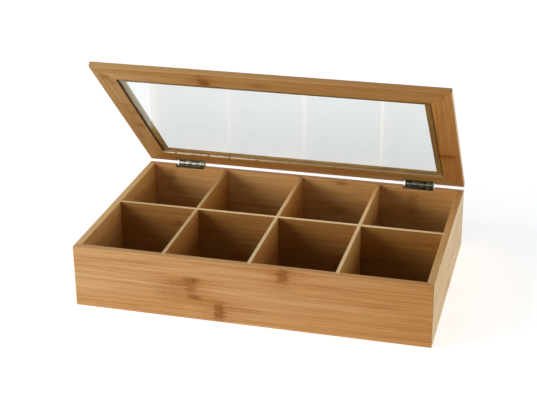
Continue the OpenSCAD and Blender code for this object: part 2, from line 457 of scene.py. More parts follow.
def turned(name, outline, sides=32):
    """Solid of revolution about Z: the outline is a list of radius and height, from the top down."""
    shape = bmesh.new()
    rings = []
    for radius, height in outline:
        if radius == 0:
            rings.append([shape.verts.new((0, 0, height))] * sides)
        else:
            turns = [math.tau * i / sides for i in range(sides)]
            places = [(radius * math.cos(t), radius * math.sin(t), height) for t in turns]
            rings.append([shape.verts.new(place) for place in places])
    for upper, lower in zip(rings, rings[1:]):
        for i in range(sides):
            j = (i + 1) % sides
            corners = []
            for vertex in (upper[i], upper[j], lower[j], lower[i]):
                if vertex not in corners:
                    corners.append(vertex)
            shape.faces.new(corners)
    return mesh_of(shape, name)


def extruded(name, outline, length, rounding):
    """Outline in Y and Z, drawn out along X from 0 to length, with its sharp edges rounded."""
    shape = bmesh.new()
    first = shape.faces.new([shape.verts.new((0, y, z)) for y, z in outline])
    drawn = bmesh.ops.extrude_face_region(shape, geom=[first])["geom"]
    bmesh.ops.translate(
        shape, vec=(length, 0, 0), verts=[v for v in drawn if isinstance(v, bmesh.types.BMVert)])
    bmesh.ops.recalc_face_normals(shape, faces=shape.faces)
    sharp = [e for e in shape.edges if e.calc_face_angle(0) > SHARP_ANGLE]
    bmesh.ops.bevel(shape, geom=sharp, offset=rounding, segments=2, profile=0.5, affect="EDGES")
    return mesh_of(shape, name)


def arc(radius, start, end, steps):
    """Points on an arc about the origin, between two angles in degrees."""
    angles = [math.radians(start + (end - start) * i / steps) for i in range(steps + 1)]
    return [(radius * math.cos(a), radius * math.sin(a)) for a in angles]


def smooth(mesh):
    """Smooth shading that keeps the sharp edges."""
    mesh.shade_smooth()
    mesh.set_sharp_from_angle(angle=SHARP_ANGLE)


def add_piece(name, mesh, body, node):
    """Adds a finished mesh as the piece that stands for a node and rides on its body."""
    mesh.name = name
    piece = bpy.data.objects.new(name, mesh)
    link(piece)
    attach(piece, body)
    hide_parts(node)


# ---- Materials ----


def place_on(tree, lid):
    """Object coordinates, turned into the shut lid's frame for what is on the lid."""
    at = tree.node("ShaderNodeTexCoord", {}, [], output="Object")
    if not lid:
        return at
    turn = CLOSED_LID.to_euler()
    return tree.node(
        "ShaderNodeMapping", {}, {"Vector": at, "Location": CLOSED_LID.translation, "Rotation": turn})


class Board(NamedTuple):
    """How one board is cut and coloured: its grain runs along one axis, its strips lie across another.

    The two shades are those of its low and its high end: its tone together with painted light, paler
    with painted sheen and darker with painted shade. Its foot inside the box is darkened with painted
    shade, one shade for each end. The rim is the colour at both ends of its face on rim_side, an axis
    and a sign: a sanded edge's tone with painted sheen, and painted shadow of the lid at the back of
    the cross dividers. Each mark is a cane node: its place along and across the board in
    millimetres, its half length and half width, and its depth, from 0 to 1. Up to the place that its
    last field gives, in millimetres along it, the wood under the pane is paled by a painted reflection
    of the floor.
    """

    node: str
    along: int
    across: int
    tones_and_painted_light: tuple
    rim: tuple = ()
    marks: tuple = ()
    painted_foot_shade: tuple = ()
    rim_side: tuple = (Z, 1)
    mitred: bool = True
    reflection_to: float = None


class Layer(NamedTuple):
    """One layer of the grain: how fast it changes along and across the fibres per metre, and its detail."""

    along: float
    across: float
    detail: float = 2


# Plain wood, from its broad clouds to its single fibres.
CLOUDS = Layer(7, 30)
BEND = Layer(12, 40, detail=1)
BANDS = Layer(5, 260)
STREAKS = Layer(13, 950)
DASHES = Layer(45, 1300, detail=1)
FIBRES = Layer(50, 2400, detail=1)
# Wood round a cane node.
SWIRL = Layer(130, 150)
MOTTLE = Layer(240, 300)
RAGGED = Layer(30, 520)
STROKES = Layer(80, 1300)

BEND_REACH = 2.4 * MM
SWIRL_REACH = 5 * MM
RAGGED_REACH = 11 * MM
SEAM_WIDTH = 0.3 * MM
GRAIN_RELIEF = 0.06 * MM
SEALANT_RELIEF = 0.1 * MM
STEEL_RELIEF = 0.02 * MM
PANE_EDGE = 0.1 * MM
# Each pair is where a change starts and where it ends: away from the mitre, in from the rim's face, up
# from the floor for the painted shade at the foot, away from the pin, along X, in from the bead's back,
# and past the end of the painted reflection under the pane.
MITRE_LINE = (0.08 * MM, 0.4 * MM)
RIM_FADE = (0.15 * MM, 0.5 * MM)
FOOT_SHADE_FADE = (24 * MM, 50 * MM)
ROLL_FADE = (2.1 * MM, 2.3 * MM)
CREAM_FADE = (-100 * MM, 10 * MM)
HINGE_SIDE = (4 * MM, 2 * MM)
REFLECTION_FADE = (-12 * MM, 4 * MM)
# By how much each seed moves the strips, their luck and their grain, and luck moves a strip's grain.
SEED_STRIPS, SEED_LUCK, SEED_GRAIN, LUCK_GRAIN = 0.37, 7.3, 3.1, 9


def grain(tree, layer, u, v, w, shift=0, seed=0):
    """Noise drawn out along the fibres, at a place along, across and through a board."""
    at = tree.vector(u * layer.along + shift, v * layer.across, w * layer.across + seed)
    return tree.noise(at, detail=layer.detail)


def cane_nodes(tree, marks, u, v, w):
    """Masks of the cane nodes' dark cores and of the stained wood round them, both with ragged sides."""
    core = halo = 0
    u = u + (grain(tree, RAGGED, u, v, w) - 0.5) * RAGGED_REACH
    for mark_u, mark_v, half_u, half_v, depth in marks:
        du, dv = (u - mark_u * MM) / (half_u * MM), (v - mark_v * MM) / (half_v * MM)
        core = (du * du).bell() * (dv * dv).bell() * depth + core
        halo = (du * 0.3).bell() * (dv * 0.8).bell() * depth + halo
    return core, halo


def glue_lines(x, y, lid):
    """1 on the mitres at the corners, seen in plan."""
    side, front, back = LID_MEMBERS if lid else (WALL, WALL, WALL)
    from_side = BOX_HIGH.x - abs(x)
    lines = None
    for reach, from_end in ((front, y - BOX_LOW.y), (back, BOX_HIGH.y - y)):
        away = abs(from_side * reach - from_end * side) / math.hypot(side, reach)
        line = 1 - away.ramp(*MITRE_LINE)
        lines = line if lines is None else lines.most(line)
    return lines


def under_the_pane(tree, board, look, wood, parts, blotches):
    """Wood of the lid with painted shade below the pane, and with a painted reflection on part of it."""
    low, high = closed_box("lid_glass")
    inside = (high.x - abs(parts[X])).ramp(0, PANE_EDGE) * (
        (high.y - parts[Y]).least(parts[Y] - low.y).ramp(0, PANE_EDGE))
    # Painted shade on the wood under the pane.
    wood = tree.mix(inside, wood, tree.multiply(wood, colour(look.painted_shade_under_pane)))
    if board.reflection_to is None:
        return wood
    # Painted reflection of the floor in the pane: the wood is paled up to a place along the board.
    ends = [board.reflection_to * MM + fade for fade in REFLECTION_FADE]
    pale_reflection = inside * (1 - parts[board.along].ramp(*ends)) * blotches
    return tree.mix(pale_reflection, wood, colour(look.pale_reflection))


def bamboo(board, seed, lid=False):
    """Bamboo of one board, with its own pattern for each seed."""
    look = bpy.context.scene.teabox_bamboo
    material, tree = new_material(f"{board.node}_bamboo")
    parts = place_on(tree, lid).split()
    u, v, w = parts[board.along], parts[board.across], parts[3 - board.along - board.across]
    low, high = closed_box(board.node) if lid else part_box(board.node)

    row = v / look.strip_width + SEED_STRIPS * seed
    strip = row.floor()
    luck = tree.node("ShaderNodeTexWhiteNoise", {"noise_dimensions": "2D"},
                     {"Vector": tree.vector(strip, SEED_LUCK * seed, 0)}, output="Color").split()
    shift = luck[0] * LUCK_GRAIN + seed * SEED_GRAIN

    bend = (grain(tree, BEND, u, v, w, shift, seed) - 0.5) * BEND_REACH
    if board.marks:
        core, halo = cane_nodes(tree, board.marks, u, v, w)
        bend = bend + (grain(tree, SWIRL, u, v, w, 0, seed) - 0.5) * halo * SWIRL_REACH
    bent = v + bend

    bands = grain(tree, BANDS, u, bent, w, shift, shift)
    streaks = grain(tree, STREAKS, u, bent, w, shift)
    fibres = grain(tree, FIBRES, u, bent, w, shift)
    dashes = grain(tree, DASHES, u, bent, w, shift, seed).ramp(0.62, 0.74)
    clouds = tree.noise(tree.vector(
        u * CLOUDS.along + shift, v * CLOUDS.across + seed, w * CLOUDS.across), detail=CLOUDS.detail)

    level = (0.53 + (bands - 0.5) * 0.65 + (streaks - 0.5) * 1.2 + (fibres - 0.5) * 0.5
             + (clouds - 0.5) * 0.6 + (luck[1] - 0.5) * 0.14)
    wood = tree.node("ShaderNodeValToRGB", {"stops": [
        (0.08, look.dark), (0.32, look.orange), (0.55, look.ground), (0.95, look.light)]}, [level])
    wood = tree.mix(dashes * 0.3, wood, colour(look.dark))
    from_seam = (row - strip).least(1 - (row - strip)) * look.strip_width
    seam = 1 - from_seam.ramp(0.0, SEAM_WIDTH)
    wood = tree.mix(seam * 0.25, wood, colour(look.dark))
    relief = bands * 0.3 + streaks * 0.5 + fibres * 0.4 - dashes * 0.3 - seam * 0.6

    if board.marks:
        mottle = grain(tree, MOTTLE, u, bent, w, 0, seed).ramp(0.28, 0.68)
        strokes = grain(tree, STROKES, u, bent, w, 0, seed).ramp(0.35, 0.7)
        wood = tree.mix(halo * (0.1 + (1 - streaks) * 0.9), wood, colour(look.stain))
        wood = tree.mix(core * (0.45 + mottle * 0.4 + strokes * 0.35), wood, colour(look.node))
        relief = relief - core * strokes * 0.6

    end = (u - low[board.along]) / (high[board.along] - low[board.along])
    # Each end's shade is the board's tone together with painted light and painted shade.
    wood = tree.multiply(wood, tree.mix(end, *map(colour, board.tones_and_painted_light)))
    # Painted shade: the inside faces darken towards the foot of the box, with a shade for each end.
    if board.painted_foot_shade:
        from_outside = (BOX_HIGH.x - abs(parts[X])).least(BOX_HIGH.y - abs(parts[Y]))
        foot = (1 - parts[Z].ramp(*FOOT_SHADE_FADE)) * from_outside.ramp(WALL * 0.4, WALL * 0.6)
        painted_foot_shade = tree.multiply(wood, tree.mix(end, *map(colour, board.painted_foot_shade)))
        wood = tree.mix(foot, wood, painted_foot_shade)
    if lid:
        wood = under_the_pane(tree, board, look, wood, parts, 0.45 + clouds * 0.3 + streaks * 0.3)
    # Painted light on the rim: a sanded edge's tone with painted sheen on top faces and on the lid's lit
    # side face, and painted shadow of the lid on the dividers' back ends.
    if board.rim:
        axis, sign = board.rim_side
        inward = high[axis] - parts[axis] if sign > 0 else parts[axis] - low[axis]
        rim = tree.mix((streaks - 0.5) * 0.8 + 0.18, tree.mix(end, *map(colour, board.rim)), wood)
        wood = tree.mix(inward.ramp(*RIM_FADE), rim, wood)
    if board.mitred:
        joint = glue_lines(parts[X], parts[Y], lid)
        wood = tree.mix(joint * (0.3 if lid else 0.45), wood, colour(look.node))
        relief = relief - joint

    bump = tree.bump(0.5, GRAIN_RELIEF, relief)
    rough = look.roughness + 0.12 * lid + (fibres - 0.5) * 0.25
    surface(tree, tree.node("ShaderNodeBsdfPrincipled", {}, {
        "Base Color": wood, "Roughness": rough, "Normal": bump, "IOR": 1.45}))
    return material


def glass():
    """Clear float glass that lets the lamps through."""
    look = bpy.context.scene.teabox_glazing
    material, tree = new_material("pane_glass")
    pane = tree.node("ShaderNodeBsdfPrincipled", {}, {
        "Base Color": colour(look.tint), "Roughness": 0.0, "IOR": 1.52, "Transmission Weight": 1.0})
    clear = tree.node("ShaderNodeBsdfTransparent", {}, {"Color": colour(look.lamp_tint)})
    lamp_ray = tree.node("ShaderNodeLightPath", {}, [], output="Is Shadow Ray")
    surface(tree, tree.node("ShaderNodeMixShader", {}, [lamp_ray, pane, clear]))
    return material


def sealant():
    """Sealant, partly its own colour and partly painted light: dark with painted shade, amber along
    the hinges, and cream in patches along the left half with painted highlights.
    """
    look = bpy.context.scene.teabox_glazing
    material, tree = new_material("bead_sealant")
    at = place_on(tree, lid=True)
    parts = at.split()
    patches = tree.noise(at, scale=220, detail=3)
    tint = tree.mix(patches.ramp(0.3, 0.7), colour(look.sealant_dark_shade), colour(look.sealant_brown))
    hinge_side = parts[Y].ramp(*[BEAD_HIGH.y - inset for inset in HINGE_SIDE])
    tint = tree.mix(hinge_side * 0.8, tint, colour(look.sealant_amber))
    # Painted highlight: cream patches on the bead's left half along the hinges.
    cream_highlight = hinge_side * (1 - parts[X].ramp(*CREAM_FADE)) * patches.ramp(0.36, 0.44)
    tint = tree.mix(cream_highlight, tint, colour(look.sealant_cream_highlight))
    bump = tree.bump(0.6, SEALANT_RELIEF, tree.noise(at, scale=900, detail=2))
    surface(tree, tree.node("ShaderNodeBsdfPrincipled", {}, {
        "Base Color": tint, "Roughness": 0.55 + patches * 0.2, "Specular IOR Level": 0.15,
        "Normal": bump}))
    return material


def steel(name, lid, painted_shade=0.0, flat=0.12):
    """Plated steel: bright on the rolled knuckles, less so with painted shade; flat is how bright the rest
    is.
    """
    look = bpy.context.scene.teabox_steel
    material, tree = new_material(name)
    at = place_on(tree, lid)
    x, y, z = at.split()
    patches = tree.noise(at, scale=260, detail=3, rough=0.6).ramp(0.3, 0.65)
    from_pin = ((y - PIN_AXIS.y) * (y - PIN_AXIS.y) + (z - PIN_AXIS.z) * (z - PIN_AXIS.z)).math("SQRT")
    rolled = 1 - from_pin.ramp(*ROLL_FADE)
    # Painted shade: the knuckles dim by the given painted shade, and the leaves keep the dark colour,
    # tarnish with painted shade, unless flat raises it.
    bright = rolled * (0.55 + patches * 0.45) * (1 - painted_shade) + (1 - rolled) * patches * flat
    tint = tree.mix(bright, colour(look.tarnish_and_shade), colour(look.plating))
    brushed = tree.noise(tree.vector(x * 300, y * 3000, z * 3000), detail=2)
    bump = tree.bump(0.3, STEEL_RELIEF, brushed + patches)
    rough = look.roughness + (1 - patches) * 0.15 + rolled * 0.16
    surface(tree, tree.node("ShaderNodeBsdfPrincipled", {}, {
        "Base Color": tint, "Metallic": 0.95, "Roughness": rough, "Normal": bump}))
    return material


def paint(node, material):
    """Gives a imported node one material."""
    mesh = frame["nodes"][node].data
    mesh.materials.clear()
    mesh.materials.append(material)


# ---- Operators ----

BEAD_STEP = 1.2 * MM
LEAF_CUTBACK = 0.35 * MM
ROLL_END = 204
HOLE_CLEARANCE = 0.05 * MM
HOLE_TOP, HOLE_FOOT = 1 * MM, -3 * MM
THREAD_PITCH = 0.7 * MM
THREAD_ROOT = 0.8
HEAD_RIM = 0.06 * MM
RECESS_DEPTH = 0.7 * MM
RECESS_TOP = 1 * MM
RECESS_REACH = 1.15
RECESS_HALF = 0.24
SCREWS_PER_LEAF = 2
SCREW_FLAT = 0.55
PIN_DOME = 0.35
PIN_DOME_STEPS = (0, 20, 40, 60, 75, 90)
# Painted shade that dims the right hinge's knuckles, which get less light.
RIGHT_HINGE_SHADE = 0.7


def paint_boards(boards, first_seed, lid=False):
    """Gives each board its bamboo, with seeds that count up from the first."""
    for seed, board in enumerate(boards, first_seed):
        paint(board.node, bamboo(board, seed, lid))


class TEABOX_OT_walls(Operator):
    """Gives the four walls and the bottom their bamboo"""

    bl_idname = "teabox.walls"
    bl_label = "Walls and bottom"

    def execute(self, context):
        paint_boards([
            # The front wall's paler left end is painted sheen.
            Board(
                "front_wall", along=X, across=Z,
                tones_and_painted_light=((1.22, 1.25, 1.28), (1.11, 0.96, 0.72)),
                rim=((0.66, 0.355, 0.12), (0.62, 0.285, 0.053)),
                marks=(
                    (-53, 40.5, 8, 2.8, 1.0), (-55, 32, 6, 6, 0.7), (-51, 23, 6.5, 2.6, 0.85),
                    (-68, 36, 8, 3, 0.4), (-76, 28, 14, 8, 0.25), (-35, 21, 14, 1.6, 0.3),
                    (-27, 10.5, 5, 9, 1.0), (-4, 15, 20, 2.5, 0.25), (33, 56, 5.5, 8.5, 1.0),
                    (31, 42, 10, 2, 0.2))),
            Board(
                "back_wall", along=X, across=Z,
                tones_and_painted_light=((1.10, 1.12, 0.98), (1.0, 0.96, 0.76)),
                rim=((0.62, 0.34, 0.12), (0.58, 0.30, 0.10)),
                marks=(
                    (-144, 50, 5, 8, 0.4), (43, 59, 6, 2.5, 0.6), (43, 28, 7, 4, 0.6),
                    (119, 48, 5.5, 8, 0.5), (119, 35, 5.5, 4, 0.4)),
                painted_foot_shade=((0.87, 0.86, 0.80), (0.70, 0.77, 0.80))),
            Board(
                "left_wall", along=Y, across=Z,
                tones_and_painted_light=((1.0, 0.97, 0.80), (1.2, 1.2, 0.9)),
                rim=((0.90, 0.56, 0.22), (0.88, 0.515, 0.165)),
                marks=((-40, 12, 5, 7, 0.5),),
                painted_foot_shade=((0.85, 0.87, 0.85), (0.85, 0.87, 0.85))),
            # Its pale shades are painted sheen of the floor seen at a grazing angle.
            Board(
                "right_wall", along=Y, across=Z,
                tones_and_painted_light=((1.38, 1.72, 2.1), (1.40, 1.85, 2.45)),
                rim=((0.77, 0.435, 0.132), (0.60, 0.25, 0.057)),
                marks=((1, 8, 5, 7, 0.5),)),
            # Its dark shades are painted shade at the foot of the compartments.
            Board(
                "bottom_panel", along=X, across=Y, mitred=False,
                tones_and_painted_light=((0.55, 0.55, 0.5), (0.5, 0.5, 0.45)),
                marks=((20, 40, 5, 8, 0.7), (-90, -30, 5, 8, 0.7))),
        ], first_seed=1)
        return {"FINISHED"}


class TEABOX_OT_dividers(Operator):
    """Gives the dividers their bamboo"""

    bl_idname = "teabox.dividers"
    bl_label = "Dividers"

    def execute(self, context):
        paint_boards([
            # The long divider's rim is paler at its right end with painted light; the cross dividers' rims
            # darken towards the back with painted shadow of the open lid.
            Board(
                "long_divider", along=X, across=Z, mitred=False,
                tones_and_painted_light=((0.63, 0.55, 0.33), (0.60, 0.50, 0.27)),
                rim=((0.80, 0.55, 0.27), (0.99, 0.77, 0.40)),
                marks=((-101, 44, 5, 3, 0.6), (60, 20, 4, 7, 0.5)),
                painted_foot_shade=((0.90, 0.98, 1.05), (0.60, 0.65, 0.75))),
            Board(
                "left_cross_divider", along=Y, across=Z, mitred=False,
                tones_and_painted_light=((0.655, 0.51, 0.28), (0.76, 0.63, 0.31)),
                rim=((0.86, 0.61, 0.285), (0.38, 0.18, 0.055)),
                painted_foot_shade=((0.85, 0.87, 0.85), (0.85, 0.87, 0.85))),
            Board(
                "middle_cross_divider", along=Y, across=Z, mitred=False,
                tones_and_painted_light=((0.72, 0.60, 0.35), (0.94, 0.77, 0.42)),
                rim=((0.99, 0.76, 0.41), (0.53, 0.295, 0.12)),
                marks=((50, 40, 4, 6, 0.4),)),
            Board(
                "right_cross_divider", along=Y, across=Z, mitred=False,
                tones_and_painted_light=((0.885, 0.86, 0.59), (0.78, 0.70, 0.445)),
                rim=((0.99, 0.72, 0.39), (0.70, 0.39, 0.157)),
                painted_foot_shade=((0.85, 0.87, 0.85), (0.85, 0.87, 0.85))),
        ], first_seed=11)
        return {"FINISHED"}


class TEABOX_OT_lid_frame(Operator):
    """Gives the lid's rails and stiles their bamboo"""

    bl_idname = "teabox.lid_frame"
    bl_label = "Lid frame"

    def execute(self, context):
        paint_boards([
            Board(
                "lid_front_rail", along=X, across=Y, rim_side=(Y, -1),
                tones_and_painted_light=((1.21, 1.24, 1.10), (1.01, 0.88, 0.60)),
                rim=((0.53, 0.305, 0.116), (0.455, 0.22, 0.064)),
                # The third mark is a darker patch that spans the rail, drawn with a cane node's colours.
                marks=((-61, -93, 5.5, 7.5, 1.0), (-63, -105, 3, 3, 0.4), (-8, -94, 9, 5, 0.35))),
            Board(
                "lid_back_rail", along=X, across=Y,
                tones_and_painted_light=((0.91, 0.72, 0.33), (0.95, 0.98, 0.72))),
            Board(
                "lid_left_stile", along=Y, across=X, reflection_to=31,
                tones_and_painted_light=((1.18, 1.30, 1.25), (1.08, 1.08, 0.80)),
                marks=(
                    (-90, -161, 4, 4, 0.6), (-79, -155, 3, 3, 0.35), (-28, -158, 4, 5, 0.35),
                    (-10, -154, 3, 4, 0.25), (19, -156, 5, 6, 0.45), (47, -165, 5, 4, 0.3))),
            # Its cream rim on the outer side face is painted light.
            Board(
                "lid_right_stile", along=Y, across=X, rim_side=(X, 1),
                tones_and_painted_light=((1.19, 1.02, 0.66), (1.01, 0.80, 0.43)),
                rim=((0.80, 0.62, 0.36), (0.80, 0.62, 0.36)),
                marks=((33, 157, 3.4, 9, 1.0), (40, 158, 8, 9, 0.15), (-96, 159, 3, 5, 0.4))),
        ], first_seed=21, lid=True)
        return {"FINISHED"}


class TEABOX_OT_pane(Operator):
    """Makes the pane clear glass"""

    bl_idname = "teabox.pane"
    bl_label = "Glass pane"

    def execute(self, context):
        paint("lid_glass", glass())
        return {"FINISHED"}


def bead_tree():
    """Tree of a bead that fills the corner below a pane, inside a rectangle about the origin."""
    group, tree, given = new_geometry("sealant_bead", {
        "Width": "Float", "Depth": "Float", "Height": "Float", "Radius": "Float", "Unevenness": "Float",
        "Seed": "Float", "Spacing": "Float", "Material": "Material"})
    path = tree.node("GeometryNodeCurvePrimitiveQuadrilateral", {}, {
        "Width": given["Width"], "Height": given["Depth"]})
    path = tree.node("GeometryNodeResampleCurve", {"mode": "LENGTH"}, {
        "Curve": path, "Length": given["Spacing"]})
    seeded = tree.vector(0, 0, given["Seed"])
    along = tree.node("GeometryNodeInputPosition")
    lumps = tree.noise(along + seeded, scale=90, detail=3, rough=0.6)
    swell = 1 + (lumps - 0.5) * given["Unevenness"] * 3
    quarter = tree.node("GeometryNodeCurveArc", {"mode": "RADIUS"}, {
        "Resolution": 8, "Radius": 1.0, "Start Angle": math.pi / 2, "Sweep Angle": math.pi / 2,
        "Connect Center": True})
    bead = tree.node("GeometryNodeCurveToMesh", {}, {
        "Curve": path, "Profile Curve": quarter, "Scale": given["Radius"] * swell.most(0.25)})
    at = tree.node("GeometryNodeInputPosition")
    x, y, z = at.split()
    from_corner = (given["Width"] * 0.5 - abs(x)).least(given["Depth"] * 0.5 - abs(y)).least(-z)
    free = (from_corner / given["Radius"] * 2).least(1)
    ripple = (tree.noise(at + seeded, scale=700, detail=2) - 0.5) * given["Radius"] * 0.5 * free
    pressed = tree.vector(x + ripple, y + ripple, (z + ripple).most(-given["Height"]))
    bead = tree.node("GeometryNodeSetPosition", {}, {"Geometry": bead, "Position": pressed})
    bead = tree.node("GeometryNodeSetShadeSmooth", {}, {"Geometry": bead, "Shade Smooth": True})
    end_geometry(tree, bead, given["Material"])
    return group


class TEABOX_OT_bead(Operator):
    """Runs the uneven sealant bead round the pane"""

    bl_idname = "teabox.bead"
    bl_label = "Sealant bead"

    def execute(self, context):
        look = context.scene.teabox_glazing
        middle = (BEAD_LOW + BEAD_HIGH) / 2
        mesh = grown(bpy.data.meshes.new("bead"), bead_tree(), {
            "Width": BEAD_HIGH.x - BEAD_LOW.x, "Depth": BEAD_HIGH.y - BEAD_LOW.y,
            "Height": BEAD_HIGH.z - BEAD_LOW.z, "Radius": look.bead_radius,
            "Unevenness": look.unevenness, "Seed": float(look.seed), "Spacing": BEAD_STEP,
            "Material": sealant()})
        mesh.transform(OPEN_LID @ Matrix.Translation((middle.x, middle.y, BEAD_HIGH.z)))
        add_piece("sealant_bead", mesh, "lid", "glass_sealant")
        return {"FINISHED"}


def countersinks(look, node, centre):
    """The conical holes for a leaf's two screws, in the frame of the hinge at centre."""
    low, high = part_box(node)
    head, shank = look.screw_head / 2 + HOLE_CLEARANCE, look.screw_shank / 2 + HOLE_CLEARANCE
    spacing = high.x - low.x - look.screw_head
    away = (low.y + high.y) / 2 - centre.translation.y
    top = high.z - centre.translation.z
    outline = [(0, HOLE_TOP), (head, HOLE_TOP), (head, 0), (shank, shank - head), (shank, HOLE_FOOT),
               (0, HOLE_FOOT)]
    holes = bmesh.new()
    for x in (-spacing / 2, spacing / 2):
        hole = turned("hole", outline)
        hole.transform(Matrix.Translation((x, away, top)))
        holes.from_mesh(hole)
        bpy.data.meshes.remove(hole)
    return mesh_of(holes, "holes")


def leaf_mesh(look, length, reach, barrel):
    """Hinge leaf below a pin along X through the origin, with every second knuckle rolled round the pin."""
    t, edge = look.leaf_thickness, look.rounding
    pitch = length / look.knuckles
    start = barrel + LEAF_CUTBACK
    flat = [(-reach, -barrel), (-start, -barrel), (-start, t - barrel), (-reach, t - barrel)]
    plate = extruded("leaf", flat, length, edge)
    plate.transform(Matrix.Translation((-length / 2, 0, 0)))
    roll = [(-start - t, -barrel), *arc(barrel, -90, ROLL_END, 30), *arc(barrel - t, ROLL_END, -90, 24),
            (-start - t, t - barrel)]
    for k in range(1, look.knuckles, 2):
        knuckle = extruded("knuckle", roll, pitch - look.knuckle_gap, edge)
        knuckle.transform(Matrix.Translation((k * pitch - length / 2 + look.knuckle_gap / 2, 0, 0)))
        plate = combined(plate, knuckle, "UNION")
    return plate


def pin_mesh(radius, length):
    """Pin with domed ends, along Z from 0 down to -length."""
    turns = [math.radians(step) for step in PIN_DOME_STEPS]
    dome = [(radius * math.sin(a), -radius * PIN_DOME * (1 - math.cos(a))) for a in turns]
    return turned("pin", dome + [(r, -length - h) for r, h in reversed(dome)], sides=36)


def screw_mesh(look, length):
    """Countersunk screw with a cross recess, down along Z from the top of its head at the origin."""
    head, shank, rim = look.screw_head / 2, look.screw_shank / 2, HEAD_RIM
    taper = head - shank
    outline = [(0, 0), (head - 2 * rim, 0), (head - rim * 0.4, -rim * 0.5), (head - rim * 0.6, -rim * 1.6),
               (shank, -taper - rim)]
    depth = taper + rim + THREAD_PITCH
    while depth + THREAD_PITCH < length - shank:
        outline += [(shank * THREAD_ROOT, -depth), (shank, -depth - THREAD_PITCH / 2)]
        depth += THREAD_PITCH
    outline += [(shank * THREAD_ROOT, shank - length), (0, -length)]
    screw = turned("screw", outline)
    arm, half = shank * RECESS_REACH, shank * RECESS_HALF
    foot = half * 0.6
    section = [(-half, RECESS_TOP), (half, RECESS_TOP), (half * 1.1, 0), (foot, -RECESS_DEPTH),
               (-foot, -RECESS_DEPTH), (-half * 1.1, 0)]
    for turn in (0, math.pi / 2):
        slot = extruded("slot", section, 2 * arm, half * 0.3)
        slot.transform(Matrix.Rotation(turn, 4, "Z") @ Matrix.Translation((-arm, 0, 0)))
        screw = combined(screw, slot, "DIFFERENCE")
    return screw


def screw_row_tree():
    """Tree that sets screws side by side along X, each with its cross at its own angle."""
    group, tree, given = new_geometry("screw_row", {
        "Screw": "Geometry", "Count": "Int", "Spacing": "Float", "Seed": "Int", "Material": "Material"})
    first = given["Spacing"] * (1 - given["Count"]) * 0.5
    row = tree.node("GeometryNodeMeshLine", {}, {
        "Count": given["Count"], "Start Location": tree.vector(first, 0, 0),
        "Offset": tree.vector(given["Spacing"], 0, 0)})
    angle = tree.node("FunctionNodeRandomValue", {"data_type": "FLOAT"}, {
        "Min_001": 0.0, "Max_001": math.tau, "Seed": given["Seed"]}, output="Value_001")
    rotation = tree.node("FunctionNodeEulerToRotation", {}, [tree.vector(0, 0, angle)])
    screws = tree.node("GeometryNodeInstanceOnPoints", {}, {
        "Points": row, "Instance": given["Screw"], "Rotation": rotation})
    end_geometry(tree, screws, given["Material"])
    return group


class TEABOX_OT_hinges(Operator):
    """Makes the leaves and pins of the two hinges"""

    bl_idname = "teabox.hinges"
    bl_label = "Hinge leaves and pins"

    def execute(self, context):
        look = context.scene.teabox_steel
        for side, painted_shade in (("left", 0.0), ("right", RIGHT_HINGE_SHADE)):
            finishes = {"box": steel(f"{side}_wall_hinge_steel", False, painted_shade),
                        "lid": steel(f"{side}_lid_hinge_steel", True, painted_shade)}
            low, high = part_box(f"{side}_hinge_wall_leaf")
            centre = Matrix.Translation(((low.x + high.x) / 2, PIN_AXIS.y, PIN_AXIS.z))
            leaf = leaf_mesh(look, high.x - low.x, PIN_AXIS.y - low.y, high.y - PIN_AXIS.y)
            holes = countersinks(look, f"{side}_hinge_wall_screws", centre)
            drilled = combined(leaf, holes, "DIFFERENCE")
            lid_place = OPEN_LID @ centre @ Matrix.Rotation(math.pi, 4, "Y")
            for body, wing, place in (("box", "wall", centre), ("lid", "lid", lid_place)):
                mesh = drilled.copy()
                mesh.materials.clear()
                mesh.materials.append(finishes[body])
                mesh.transform(place)
                smooth(mesh)
                add_piece(f"{side}_{wing}_leaf", mesh, body, f"{side}_hinge_{wing}_leaf")
            low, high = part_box(f"{side}_hinge_pin")
            length = high.x - low.x
            pin = pin_mesh((high.z - low.z) / 2, length)
            across = Matrix.Rotation(math.pi / 2, 4, "Y") @ Matrix.Translation((0, 0, length / 2))
            pin.transform(centre @ across)
            pin.materials.append(finishes["box"])
            smooth(pin)
            add_piece(f"{side}_pin", pin, "box", f"{side}_hinge_pin")
        return {"FINISHED"}


class TEABOX_OT_screws(Operator):
    """Sets the countersunk screws of the hinges"""

    bl_idname = "teabox.screws"
    bl_label = "Hinge screws"

    def execute(self, context):
        look = context.scene.teabox_steel
        rows = screw_row_tree()
        half_turn = Matrix.Rotation(math.pi, 4, "Y")
        for seed, side in enumerate(("left", "right")):
            for body, wing in (("box", "wall"), ("lid", "lid")):
                node = f"{side}_hinge_{wing}_screws"
                low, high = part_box(node) if body == "box" else closed_box(node)
                middle = (low + high) / 2
                finish = steel(f"{side}_{wing}_screw_steel", lid=body == "lid", flat=SCREW_FLAT)
                screw = screw_mesh(look, high.z - low.z)
                screw.materials.append(finish)
                mesh = grown(screw, rows, {
                    "Count": SCREWS_PER_LEAF, "Spacing": high.x - low.x - look.screw_head,
                    "Seed": seed * 7 + len(wing), "Material": finish})
                if body == "box":
                    mesh.transform(Matrix.Translation((middle.x, middle.y, high.z)))
                else:
                    mesh.transform(OPEN_LID @ Matrix.Translation((middle.x, middle.y, low.z)) @ half_turn)
                smooth(mesh)
                add_piece(f"{side}_{wing}_screws", mesh, body, node)
        return {"FINISHED"}


# ---- Stage ----

CAMERA_PLACE = Vector((0.28874, -1.09789, 0.58491))
LENS = 85.3
SHIFT_Y = -0.0745
WHITE = (1, 1, 1, 1)
FLOOR_GREY = (0.8, 0.8, 0.8, 1)
FLOOR_SIZE = 12.0
# The floor's glow near the box, and the distances over which it rises to white.
FLOOR_GLOW = 0.68
FLOOR_LIT = (0.7, 2.5)
# Its glow in reflections, which starts across this stretch of X.
FLOOR_SHEEN = 0.6
SHEEN_FROM = (-0.2, 0.2)
